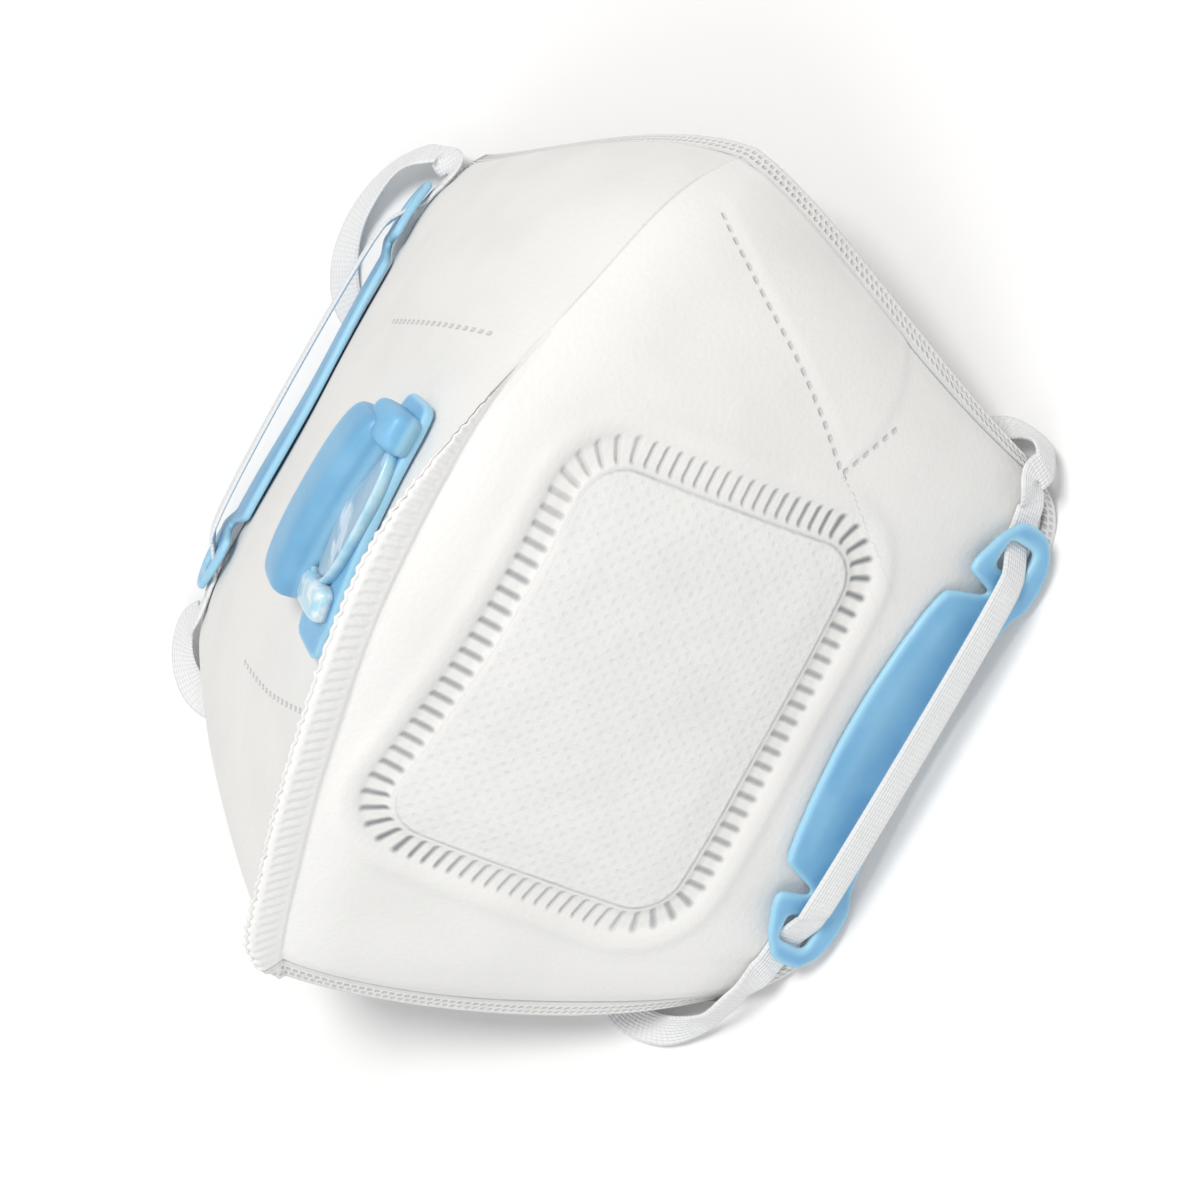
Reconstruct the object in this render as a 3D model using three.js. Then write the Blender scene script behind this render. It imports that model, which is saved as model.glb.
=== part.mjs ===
// A fold-flat half-mask respirator: two nonwoven panels that meet in an upright welded ridge, hems round the
// face opening, a plastic clip on each cheek, an exhalation valve and one elastic strap. It rests on its open
// side. Millimetres, +Z up, +Y towards the nose, +X to the wearer's left.
import * as THREE from 'three';

// Driving dimensions.
const wall = 1.5;                // laminate thickness
const gap = 0.3;                 // between pieces that touch
const cornerGap = 0.8;           // between the hems at the lower corners
const riseToFeet = 6.9;          // lifts the table of ribs, so that the feet stand at z = 0
const slideToMiddle = 6.6;       // moves the finished pieces along Y, so that the mask is centred on its origin
const hemWidth = { top: 5, bottom: 5.5, side: 4 };
const ribLength = 108;           // nominal, from the cheek edge to the ridge
const panelCells = { along: 30, across: 20 };
const valveOpening = { ribs: [0.69, 0.86], heights: [0.45, 0.57] };  // shares of the wearer's right panel

const halvings = 30;  // steps of each search by halving

// The welded fin on the ridge: half its thickness, height, lean to the wearer's right, and where it fades out.
const fin = { half: 0.85, taper: 0.1, height: 6.6, lip: 0.35, lean: 0.36, chinShare: 0.12, fullFrom: 0.2, fade: [0.5, 0.7] };

// Ribs of the wearer's left half, chin first and nose last. Each runs from the edge of the face opening up to
// the ridge as one cubic curve, given by its two ends and the points that its ends aim at.
const ribs = [
  { edge: [58, -52.5, -1], edgeAim: [41.5, -70.5, 8], ridgeAim: [11, -83.5, 20], ridge: [0, -84, 35] },
  { edge: [63.6, -46, -4.2], edgeAim: [48.5, -57, 15.5], ridgeAim: [16, -77, 29], ridge: [0, -79.5, 41] },
  { edge: [66.8, -36, -7.8], edgeAim: [50.5, -47, 21], ridgeAim: [20, -66, 36], ridge: [0, -68, 50] },
  { edge: [66, -20, -4.9], edgeAim: [48.5, -27, 28], ridgeAim: [24.5, -41, 48], ridge: [0, -45, 65] },
  { edge: [65.4, 0, -4.5], edgeAim: [46.8, -2.5, 31], ridgeAim: [26.5, -11, 60], ridge: [0, -14, 78.5] },
  { edge: [66, 20, -4.9], edgeAim: [47.8, 20.5, 31], ridgeAim: [27, 17, 62], ridge: [0, 16, 80.3] },
  { edge: [66.8, 36, -7.8], edgeAim: [50, 38, 25], ridgeAim: [27, 43, 57], ridge: [0, 42, 67] },
  { edge: [64, 46, -5.6], edgeAim: [47.5, 48.5, 18.5], ridgeAim: [24, 57, 50], ridge: [0, 60, 54.5] },
  { edge: [57.5, 51.5, 1], edgeAim: [39, 57, 17], ridgeAim: [17, 70.5, 34.5], ridge: [0, 73.3, 35] },
];

// The pressed ring on the wearer's left panel: a rounded rectangle measured on a plane behind the panel.
const ring = {
  middle: [30.5, -13.2, 50.2], up: [0.04, 0.98, 0.19], out: [0.61, 0.09, -0.79],
  tall: 80, wide: 63, corner: 13, band: 5, depth: 0.7, puff: 0.5,
};

// Side clip. Half its outline from the middle to the end: distance along the cheek, then its two edges across,
// from the edge of the mask. The blade runs to the notch, and the slotted head follows.
const clip = { thick: 1.4, lift: 0.35, headLift: 1.75, ramp: [25.9, 29.6], slot: [33.2, 38.2], slotShare: [0.3, 0.86] };
const clipOutline = [
  { along: 0, near: 1.8, far: 18.8 },
  { along: 9, near: 1.8, far: 18.7 },
  { along: 18, near: 1.8, far: 18.3 },
  { along: 25.2, near: 1.7, far: 17.6 },
  { along: 26.2, near: 1.6, far: 16.2 },
  { along: 28.4, near: 1.5, far: 11 },
  { along: 30, near: 1.5, far: 16 },
  { along: 31.4, near: 1.5, far: 17.4 },
  { along: 33.2, near: 1.6, far: 17.3 },
  { along: 38.2, near: 2.7, far: 15.8 },
  { along: 40.1, near: 4.3, far: 13.9 },
  { along: 41.7, near: 7.2, far: 11.2 },
];

// Exhalation valve on the wearer's right panel: places are along the mask and across towards the ridge, from
// the valve's middle, and heights are from the panel.
const valve = { rib: 0.775, height: 0.515, lift: 0.35, plate: 1.8, membrane: 0.8 };
const seatColumns = [-15, -10.5, -3.5, 3, 9.5, 13.5];
const seatRows = [-21.5, -17.5, -12, -5, -3, 3, 5, 12, 17.5, 21.5];
const coverPath = [
  { along: -16, rise: 0 }, { along: -16, rise: 2.6 }, { along: -14.6, rise: 4.4 }, { along: -9, rise: 5.6 },
  { along: 0, rise: 6 }, { along: 9, rise: 5.6 }, { along: 14.6, rise: 4.4 }, { along: 16, rise: 2.6 },
  { along: 16, rise: 0 },
];
const coverCrown = [
  { across: -12.5, drop: 1.5 }, { across: -9, drop: 0.4 }, { across: -1, drop: 0 }, { across: 7, drop: 0.4 },
  { across: 10.5, drop: 1.5 },
];
const coverThick = 1.4;
const seatShape = { tabFrom: 17.5, tabNear: 3, openHalf: 12, openNear: -10.5, openFar: 9.5, barFrom: 3, barTo: 5 };
const flapShape = { near: -11.5, far: 10.5, half: 13.6, cells: 4 };

// Elastic strap, flat, one closed loop: over the wearer's left clip, round the top corner, across inside the
// mask, round the wearer's right clip and back. Where it threads a clip's slot, rows give places along the
// cheek and heights from the panel. The other rows are points, and the way that the flat side faces there.
const strap = { wide: 6, thick: 0.9, stepsPerRow: 2, inwards: 10.2 };
const threading = [
  { along: 30.2, height: 5 },
  { along: 33.1, height: 4.1 },
  { along: 35.7, height: 2.45 },
  { along: 38.3, height: 0.95 },
  { along: 40.6, height: 0.85 },
  { along: 42.8, height: 0.85 },
  { along: 45, height: 1.25 },
];
const crownStretch = [
  { at: [59.9, 48.8, 11.3], face: [0.75, 0.55, 0.37] },
  { at: [60, 51.8, 9.3], face: [0.6, 0.8, 0.1] },
  { at: [57.7, 54.5, 7.3], face: [0.2, 0.97, 0.1] },
  { at: [53.4, 54.9, 4.6], face: [-0.1, 0.8, 0.5] },
  { at: [48.3, 53.4, 2.3], face: [-0.05, 0.4, 0.91] },
  { at: [43.4, 46.6, 0.65], face: [0, 0, 1] },
  { at: [41, 34.6, 0.65], face: [0, 0, 1] },
  { at: [43, 22.6, 0.65], face: [0, 0, 1] },
  { at: [38, 9.6, 0.65], face: [0, 0, 1] },
  { at: [25, 3.6, 0.65], face: [0, 0, 1] },
  { at: [12, 8.6, 0.65], face: [0, 0, 1] },
  { at: [3, 19.6, 0.65], face: [0, 0, 1] },
  { at: [-9, 28.6, 0.65], face: [0, 0, 1] },
  { at: [-24, 29.6, 0.65], face: [0, 0, 1] },
  { at: [-37, 21.6, 0.65], face: [0, 0, 1] },
  { at: [-49, 14.6, 0.65], face: [0, 0, 1] },
  { at: [-60, 13.2, 0.65], face: [0, 0, 1] },
  { at: [-69, 15.2, 0.7], face: [0, 0, 1] },
  { at: [-74, 21, 1.1], face: [-0.2, 0, 0.98] },
  { at: [-76, 28.6, 2.2], face: [-0.45, 0.1, 0.89] },
  { at: [-75, 36.6, 3.9], face: [-0.5, 0.35, 0.79] },
  { at: [-72, 42.6, 6], face: [-0.35, 0.6, 0.7] },
  { at: [-67.4, 46.4, 8], face: [-0.4, 0.55, 0.72] },
  { at: [-64.4, 47.5, 7.7], face: [-0.6, 0.55, 0.58] },
];
const neckStretch = [
  { at: [-63.6, -49.4, 5.6], face: [-0.5, -0.3, 0.81] },
  { at: [-62.9, -53.8, 3.6], face: [-0.3, -0.35, 0.89] },
  { at: [-60.4, -57.4, 2.1], face: [-0.1, -0.3, 0.95] },
  { at: [-56.4, -59.6, 1.1], face: [0, -0.1, 0.99] },
  { at: [-50, -58.8, 0.65], face: [0, 0, 1] },
  { at: [-44, -52.4, 0.65], face: [0, 0, 1] },
  { at: [-39, -43.4, 0.65], face: [0, 0, 1] },
  { at: [-30, -37.4, 0.65], face: [0, 0, 1] },
  { at: [-20, -40.4, 0.65], face: [0, 0, 1] },
  { at: [-10, -48.4, 0.65], face: [0, 0, 1] },
  { at: [2, -47.4, 0.65], face: [0, 0, 1] },
  { at: [10, -36.4, 0.65], face: [0, 0, 1] },
  { at: [20, -27.4, 0.65], face: [0, 0, 1] },
  { at: [33, -27.4, 0.65], face: [0, 0, 1] },
  { at: [39, -37.4, 0.65], face: [0, 0, 1] },
  { at: [36, -48.4, 0.65], face: [0, 0, 1] },
  { at: [36, -58.4, 0.65], face: [0, 0, 1] },
  { at: [42, -64.8, 0.7], face: [0, 0, 1] },
  { at: [49.4, -64, 2], face: [0.05, -0.25, 0.97] },
  { at: [55, -60, 4.6], face: [0.4, -0.75, 0.53] },
  { at: [58.5, -55.4, 6.8], face: [0.72, -0.68, 0.15] },
  { at: [60.5, -50.2, 9], face: [0.79, -0.58, 0.2] },
];

const materials = {
  nonwoven: new THREE.MeshStandardMaterial({ color: 0xeeecea, roughness: 0.95, metalness: 0 }),
  plastic: new THREE.MeshStandardMaterial({ color: 0x7bb9df, roughness: 0.42, metalness: 0 }),
  elastic: new THREE.MeshStandardMaterial({ color: 0xe4e6e8, roughness: 0.85, metalness: 0 }),
  membrane: new THREE.MeshStandardMaterial({ color: 0xc9d4df, roughness: 0.4, metalness: 0 }),
};

const mask = new THREE.Group();

// ---- Shared helpers

const vector = (list) => new THREE.Vector3(...list);
const placed = ([x, y, z]) => new THREE.Vector3(x, y, z + riseToFeet);
const smooth = (x, from, to) => THREE.MathUtils.smoothstep(x, from, to);
const shares = (count, from = 0, to = 1) =>
  Array.from({ length: count + 1 }, (_, i) => from + (to - from) * i / count);
const mirrored = (grid) => grid.map((line) => line.map((p) => new THREE.Vector3(-p.x, p.y, p.z)));

function addMesh(name, geometry, material) {
  geometry.translate(0, slideToMiddle, 0);
  geometry.computeVertexNormals();
  const mesh = new THREE.Mesh(geometry, material);
  mesh.name = name;
  mask.add(mesh);
}

// A closed solid between two grids of points. A cell that is left out opens a hole or shortens the outline.
// The outer grid's first index steps clockwise from its second, seen from outside; flipped turns it round.
function between(outer, inner, { leftOut = () => false, flipped = false } = {}) {
  const [lines, points] = [outer.length, outer[0].length];
  const index = (side, i, j) => (side * lines + i) * points + j;
  const triangles = [];
  const quad = (a, b, c, d) => triangles.push(...(flipped ? [a, c, b, a, d, c] : [a, b, c, a, c, d]));
  const filled = (i, j) => i >= 0 && j >= 0 && i < lines - 1 && j < points - 1 && !leftOut(i, j);
  for (let i = 0; i < lines - 1; i += 1) {
    for (let j = 0; j < points - 1; j += 1) {
      if (!filled(i, j)) continue;
      const corners = [[i, j], [i, j + 1], [i + 1, j + 1], [i + 1, j]];
      const neighbours = [[i - 1, j], [i, j + 1], [i + 1, j], [i, j - 1]];
      quad(...corners.map(([a, b]) => index(0, a, b)));
      quad(...corners.map(([a, b]) => index(1, a, b)).reverse());
      neighbours.forEach((cell, k) => {
        if (filled(...cell)) return;
        const [p, q] = [corners[k], corners[(k + 1) % 4]];
        quad(index(0, ...q), index(0, ...p), index(1, ...p), index(1, ...q));
      });
    }
  }
  const geometry = new THREE.BufferGeometry().setFromPoints([...outer.flat(), ...inner.flat()]);
  geometry.setIndex(triangles);
  return geometry;
}

// ---- The outer surface of the wearer's left half

const across = Object.fromEntries(Object.keys(ribs[0]).map((name) => [
  name, new THREE.CatmullRomCurve3(ribs.map((rib) => placed(rib[name])), false, 'catmullrom', 0.5)]));

// u runs 0 to 1 up a rib, from the cheek edge to the ridge; v runs 0 to 1 from the chin edge to the nose edge.
function skin(u, v) {
  const edge = across.edge.getPoint(v);
  edge.z = Math.max(edge.z, 0);
  const w = 1 - u;
  return edge.multiplyScalar(w * w * w)
    .addScaledVector(across.edgeAim.getPoint(v), 3 * w * w * u)
    .addScaledVector(across.ridgeAim.getPoint(v), 3 * w * u * u)
    .addScaledVector(across.ridge.getPoint(v), u * u * u);
}

function skinNormal(u, v) {
  const step = 1e-3;
  const [u0, u1] = [Math.max(0, u - step), Math.min(1, u + step)];
  const [v0, v1] = [Math.max(0, v - step), Math.min(1, v + step)];
  const alongMask = skin(u, v1).sub(skin(u, v0));
  const alongRib = skin(u1, v).sub(skin(u0, v));
  return alongMask.cross(alongRib).normalize();
}

// The v at which a rib point lies a given distance in from the chin edge (end 0) or the nose edge (end 1).
function inFrom(end, distance, u) {
  const start = skin(u, end);
  let [near, far] = [end, 0.5];
  for (let i = 0; i < halvings; i += 1) {
    const middle = (near + far) / 2;
    if (skin(u, middle).distanceTo(start) < distance) near = middle;
    else far = middle;
  }
  return (near + far) / 2;
}

// How far the pressed ring raises or sinks the wearer's left panel at a point.
function ringRelief(point) {
  const from = point.clone().sub(vector(ring.middle));
  const qx = Math.abs(from.dot(vector(ring.out).normalize())) - ring.wide / 2 + ring.corner;
  const qy = Math.abs(from.dot(vector(ring.up).normalize())) - ring.tall / 2 + ring.corner;
  const outside = Math.hypot(Math.max(qx, 0), Math.max(qy, 0)) + Math.min(Math.max(qx, qy), 0) - ring.corner;
  const channel = smooth(-outside, -0.5, 1.5) * (1 - smooth(-outside, ring.band - 1.5, ring.band + 0.5));
  return ring.puff * smooth(-outside, ring.band, ring.band + 8) - ring.depth * channel;
}

// The point under the outer surface on the inner side. The edge is cut level, so that it can stand on its feet,
// and the ridge is mitred to the middle plane.
function innerPoint(u, outerPoint, normal) {
  if (u === 0) return outerPoint.clone().addScaledVector(vector([normal.x, normal.y, 0]).normalize(), -wall);
  if (u === 1) {
    const upright = Math.hypot(normal.y, normal.z);
    return outerPoint.clone().add(vector([0, normal.y, normal.z]).multiplyScalar(-wall / upright ** 2));
  }
  const point = outerPoint.clone().addScaledVector(normal, -wall);
  point.x = Math.max(point.x, gap / 2);
  return point;
}

function finHeight(v) {
  const chin = fin.chinShare + (1 - fin.chinShare) * smooth(v, 0, fin.fullFrom);
  return fin.lip + (fin.height - fin.lip) * chin * (1 - smooth(v, ...fin.fade));
}

// Outer and inner grids over a stretch of the half. ends(u) gives the v at both ends of the line at u, and a
// ridge line carries this half's share of the fin, which leans to the wearer's right on both halves.
function halfShell({ lines: places, rows, ends, relief = () => 0, lean = -fin.lean }) {
  const outer = [];
  const inner = [];
  for (const u of places) {
    const lines = shares(rows, ...ends(u)).map((v) => {
      const normal = skinNormal(u, v);
      const bare = skin(u, v);
      return { v, normal, top: bare.clone().addScaledVector(normal, relief(bare)), under: innerPoint(u, bare, normal) };
    });
    outer.push(lines.map((p) => p.top));
    inner.push(lines.map((p) => p.under));
    if (u < 1) continue;
    const foot = lines.map((p) => p.top.clone());
    const tip = lines.map((p) => {
      const height = finHeight(p.v);
      const angle = lean * height / fin.height;
      const upright = vector([0, p.normal.y, p.normal.z]).normalize().multiplyScalar(height * Math.cos(angle));
      return p.top.clone().add(upright).add(vector([height * Math.sin(angle), 0, 0]));
    });
    const moved = (line, x) => line.map((p) => p.clone().add(vector([x, 0, 0])));
    outer.splice(-1, 1, moved(foot, fin.half), moved(tip, fin.half - fin.taper));
    inner.splice(-1, 1, moved(inner.at(-1), gap / 2), moved(tip, gap / 2));
  }
  return { outer, inner };
}

// ---- Panels

const sideShare = (hemWidth.side + gap) / ribLength;
const panelLines = shares(panelCells.across, sideShare, 1);
const hemLines = [0, ...panelLines];
const panelEnds = (u) => [inFrom(0, hemWidth.bottom, u), inFrom(1, hemWidth.top, u)];

function makePanels() {
  const size = { lines: panelLines, rows: panelCells.along, ends: panelEnds };
  const left = halfShell({ ...size, relief: ringRelief });
  addMesh('panel_left', between(left.outer, left.inner), materials.nonwoven);

  const right = halfShell({ ...size, lean: fin.lean });
  const inSpan = (share, [from, to]) => share > from && share < to;
  const leftOut = (i, j) => i < panelCells.across
    && inSpan(sideShare + (1 - sideShare) * (i + 0.5) / panelCells.across, valveOpening.ribs)
    && inSpan((j + 0.5) / panelCells.along, valveOpening.heights);
  addMesh('panel_right', between(mirrored(right.outer), mirrored(right.inner), { leftOut, flipped: true }),
    materials.nonwoven);
}

// ---- Hems: one folded strip over the nose, one on each side of the chin, one down each cheek

function makeHems() {
  const topEnds = (u) => [inFrom(1, hemWidth.top - gap, u), 1];
  const lines = hemLines.map((u) => {
    const [low, high] = topEnds(u);
    return [low, high].map((v) => {
      const normal = skinNormal(u, v);
      const top = skin(u, v);
      return { top, under: innerPoint(u, top, normal) };
    });
  });
  const half = (part) => lines.map((line) => line.map((p) => p[part]));
  const whole = (part) => [...half(part), ...mirrored(half(part)).reverse().slice(1)];
  addMesh('hem_top', between(whole('top'), whole('under')), materials.nonwoven);

  const bottom = { lines: hemLines, rows: 1, ends: (u) => [0, inFrom(0, hemWidth.bottom - gap, u)] };
  const sideEnds = (u) => [inFrom(0, hemWidth.bottom + cornerGap, u), inFrom(1, hemWidth.top, u)];
  const side = { lines: [0, hemWidth.side / ribLength], rows: panelCells.along, ends: sideEnds };
  for (const [name, stretch] of [['hem_bottom', bottom], ['hem_side', side]]) {
    const left = halfShell(stretch);
    const right = halfShell({ ...stretch, lean: fin.lean });
    addMesh(`${name}_left`, between(left.outer, left.inner), materials.nonwoven);
    addMesh(`${name}_right`, between(mirrored(right.outer), mirrored(right.inner), { flipped: true }),
      materials.nonwoven);
  }
}

// ---- Side clips

// A place over the cheek: along it from its middle, in from the edge of the mask, and up from the surface.
function onCheek(along, inwards, height) {
  const u = inwards / ribLength;
  let [low, high] = [0, 1];
  for (let i = 0; i < halvings; i += 1) {
    const middle = (low + high) / 2;
    if (skin(u, middle).y < along) low = middle;
    else high = middle;
  }
  const face = skinNormal(u, low);
  return { at: skin(u, low).addScaledVector(face, height), face };
}

function makeClips() {
  const half = clipOutline.slice(1);
  const outline = [...half.toReversed().map((row) => ({ ...row, along: -row.along })), ...clipOutline];
  const grids = [clip.thick, 0].map((height) => outline.map(({ along, near, far }) => {
    const lift = clip.lift + (clip.headLift - clip.lift) * smooth(Math.abs(along), ...clip.ramp);
    return [0, ...clip.slotShare, 1].map((share) => onCheek(along, near + (far - near) * share, lift + height).at);
  }));
  const middleCell = 1;
  const leftOut = (i, j) => {
    const middle = Math.abs(outline[i].along + outline[i + 1].along) / 2;
    return j === middleCell && middle > clip.slot[0] && middle < clip.slot[1];
  };
  addMesh('side_clip_left', between(...grids, { leftOut, flipped: true }), materials.plastic);
  addMesh('side_clip_right', between(...grids.map(mirrored), { leftOut }), materials.plastic);
}

// ---- Exhalation valve

const valveScale = {
  rib: skin(valve.rib + 0.01, valve.height).distanceTo(skin(valve.rib - 0.01, valve.height)) / 0.02,
  height: skin(valve.rib, valve.height + 0.01).distanceTo(skin(valve.rib, valve.height - 0.01)) / 0.02,
};

function onValve(across, along, height) {
  const u = valve.rib + across / valveScale.rib;
  const v = valve.height + along / valveScale.height;
  const point = skin(u, v).addScaledVector(skinNormal(u, v), height);
  return new THREE.Vector3(-point.x, point.y, point.z);
}

function makeValve() {
  const seatTop = valve.lift + valve.plate;
  const grid = (columns, rows, height) => columns.map((a) => rows.map((e) => onValve(a, e, height(a))));

  const cell = (list, i) => (list[i] + list[i + 1]) / 2;
  const leftOut = (i, j) => {
    const [a, e] = [cell(seatColumns, i), Math.abs(cell(seatRows, j))];
    if (e > seatShape.tabFrom) return a < seatShape.tabNear;
    const inOpening = e < seatShape.openHalf && a > seatShape.openNear && a < seatShape.openFar;
    const onBar = e > seatShape.barFrom && e < seatShape.barTo;
    return inOpening && !onBar;
  };
  addMesh('valve_seat', between(grid(seatColumns, seatRows, () => seatTop), grid(seatColumns, seatRows, () => valve.lift),
    { leftOut, flipped: true }), materials.plastic);

  const flapColumns = shares(flapShape.cells, flapShape.near, flapShape.far);
  const flapRows = shares(flapShape.cells, -flapShape.half, flapShape.half);
  const flap = (height) => grid(flapColumns, flapRows, () => seatTop + gap + height);
  addMesh('valve_flap', between(flap(valve.membrane), flap(0), { flipped: true }), materials.membrane);

  const coverTop = Math.max(...coverPath.map((row) => row.rise));
  const shell = (offset) => coverCrown.map(({ across: a, drop }) => coverPath.map((row, k) => {
    const before = coverPath[Math.max(k - 1, 0)];
    const after = coverPath[Math.min(k + 1, coverPath.length - 1)];
    const along = vector([after.along - before.along, after.rise - before.rise, 0]).normalize();
    const rise = seatTop + gap + row.rise - drop * row.rise / coverTop;
    return onValve(a, row.along - along.y * offset, rise + along.x * offset);
  }));
  addMesh('valve_cover', between(shell(coverThick), shell(0), { flipped: true }), materials.plastic);
}

// ---- Strap

function makeStrap() {
  const fixed = (rows) => rows.map((row) => ({ at: vector(row.at), face: vector(row.face) }));
  const threaded = (side, end) => threading.map(({ along, height }) => {
    const row = onCheek(end * along, strap.inwards, height);
    for (const part of [row.at, row.face]) part.x *= side;
    return row;
  });
  const rows = [
    ...threaded(1, 1), ...fixed(crownStretch), ...threaded(-1, 1).reverse(),
    ...threaded(-1, -1), ...fixed(neckStretch), ...threaded(1, -1).reverse(),
  ];
  const route = new THREE.CatmullRomCurve3(rows.map((row) => row.at), true, 'centripetal');
  const facing = new THREE.CatmullRomCurve3(rows.map((row) => row.face), true, 'centripetal');
  const [flat, full] = [strap.wide / 2, strap.thick / 2];
  const section = [
    [-flat, full * 0.5], [-flat + 0.3, full], [flat - 0.3, full], [flat, full * 0.5],
    [flat, -full * 0.5], [flat - 0.3, -full], [-flat + 0.3, -full], [-flat, -full * 0.5],
  ];
  const steps = rows.length * strap.stepsPerRow;
  const rings = Array.from({ length: steps }, (_, i) => {
    const t = i / steps;
    const along = route.getTangent(t);
    const up = facing.getPoint(t);
    up.addScaledVector(along, -up.dot(along)).normalize();
    const side = up.clone().cross(along);
    return section.map(([x, y]) => route.getPoint(t).addScaledVector(side, x).addScaledVector(up, y));
  });
  const triangles = [];
  rings.forEach((_, i) => section.forEach((__, k) => {
    const next = (i + 1) % steps;
    const turn = (k + 1) % section.length;
    const [a, b, c, d] = [[i, k], [i, turn], [next, turn], [next, k]].map(([r, s]) => r * section.length + s);
    triangles.push(a, c, b, a, d, c);
  }));
  const geometry = new THREE.BufferGeometry().setFromPoints(rings.flat());
  geometry.setIndex(triangles);
  addMesh('head_strap', geometry, materials.elastic);
}

makePanels();
makeHems();
makeClips();
makeValve();
makeStrap();

export default mask;
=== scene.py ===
# Fold-flat respirator mask with a valve, cheek clips and one elastic strap, resting on its open side.
import math
import bpy
import numpy as np
from mathutils import Matrix, Vector


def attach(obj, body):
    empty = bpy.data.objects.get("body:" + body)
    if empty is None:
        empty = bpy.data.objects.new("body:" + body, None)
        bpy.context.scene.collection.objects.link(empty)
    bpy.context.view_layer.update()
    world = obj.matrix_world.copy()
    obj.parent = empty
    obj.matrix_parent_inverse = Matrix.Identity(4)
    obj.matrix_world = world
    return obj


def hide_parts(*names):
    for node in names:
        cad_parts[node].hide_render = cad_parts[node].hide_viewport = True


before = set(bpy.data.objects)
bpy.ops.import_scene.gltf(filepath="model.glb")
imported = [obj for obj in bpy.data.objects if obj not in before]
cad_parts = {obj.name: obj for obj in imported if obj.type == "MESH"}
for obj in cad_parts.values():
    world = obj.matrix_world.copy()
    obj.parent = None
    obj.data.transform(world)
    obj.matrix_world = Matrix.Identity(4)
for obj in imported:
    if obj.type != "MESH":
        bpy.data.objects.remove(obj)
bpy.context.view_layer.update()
mm = 0.001

# Camera and light (the floor is made at the end)
view = {
    "aim": (0.0, 0.0066, 0.0119), "distance": 0.552884, "turn": 20.0, "rise": 3.3544, "roll": 30.0821,
    "lens": 96.2, "shift": (0.0062, -0.0358),
}


def addCamera():
    turn, rise, roll = (math.radians(view[k]) for k in ("turn", "rise", "roll"))
    back = Vector((math.sin(turn) * math.cos(rise), math.sin(rise), math.cos(turn) * math.cos(rise)))
    side = Vector((math.cos(turn), 0, -math.sin(turn)))
    up = back.cross(side)
    right = math.cos(roll) * side + math.sin(roll) * up
    top = -math.sin(roll) * side + math.cos(roll) * up
    camera = bpy.data.objects.new("camera", bpy.data.cameras.new("camera"))
    bpy.context.scene.collection.objects.link(camera)
    place = Matrix((right, top, back)).transposed().to_4x4()
    place.translation = Vector(view["aim"]) + back * view["distance"]
    camera.matrix_world = place
    camera.data.lens, camera.data.sensor_width = view["lens"], 36
    camera.data.shift_x, camera.data.shift_y = view["shift"]
    camera.data.clip_start = 0.01
    bpy.context.scene.camera = camera


def addLight(name, at, size, power, colour=(1, 1, 1), aim=(0, 0, 0.04)):
    light = bpy.data.lights.new(name, "AREA")
    light.shape, light.size, light.energy, light.color = "DISK", size, power, colour
    holder = bpy.data.objects.new(name, light)
    bpy.context.scene.collection.objects.link(holder)
    holder.location = at
    holder.rotation_euler = (Vector(aim) - Vector(at)).to_track_quat("-Z", "Y").to_euler()


addCamera()
studio = {"world": 0.5, "key": 8.3, "fill": 2.7}
world = bpy.data.worlds.new("studio")
bpy.context.scene.world = world
world.use_nodes = True
world.node_tree.nodes["Background"].inputs[0].default_value = (1, 1, 1, 1)
world.node_tree.nodes["Background"].inputs[1].default_value = studio["world"]
addLight("key", (-0.12, 0.2, 1.2), 0.4, studio["key"], (1, 0.985, 0.965))
addLight("fill", (0.5, -0.7, 0.85), 0.7, studio["fill"], (0.97, 0.985, 1))
bpy.context.scene.view_settings.view_transform = "Standard"


# Shader maths
class Value:
    def __init__(self, shader, socket):
        self.shader, self.socket = shader, socket

    def maths(self, operation, *others):
        values = dict(enumerate((self,) + others))
        return self.shader.node("ShaderNodeMath", {"operation": operation}, values)

    def __add__(self, other): return self.maths("ADD", other)
    def __radd__(self, other): return self.maths("ADD", other)
    def __sub__(self, other): return self.maths("SUBTRACT", other)
    def __rsub__(self, other): return (self * -1) + other
    def __mul__(self, other): return self.maths("MULTIPLY", other)
    def __rmul__(self, other): return self.maths("MULTIPLY", other)
    def __truediv__(self, other): return self.maths("DIVIDE", other)
    def __rtruediv__(self, other): return self.maths("POWER", -1.0) * other
    def __abs__(self): return self.maths("ABSOLUTE")
    def sin(self): return self.maths("SINE")
    def share(self): return self.maths("FRACT")
    def most(self, other): return self.maths("MAXIMUM", other)

    def smooth(self, low, high):
        settings = {"interpolation_type": "SMOOTHSTEP"}
        return self.shader.node("ShaderNodeMapRange", settings, {0: self, 1: low, 2: high, 3: 0.0, 4: 1.0})

    def stripe(self, pitch, width, soft=0.12):  # 1 on a line of that share of each pitch
        away = abs((self / pitch).share() - 0.5)
        return 1 - away.smooth(width / 2 - soft, width / 2 + soft)

    def band(self, low, high, soft):
        return self.smooth(low - soft, low + soft) * (1 - self.smooth(high - soft, high + soft))


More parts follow.
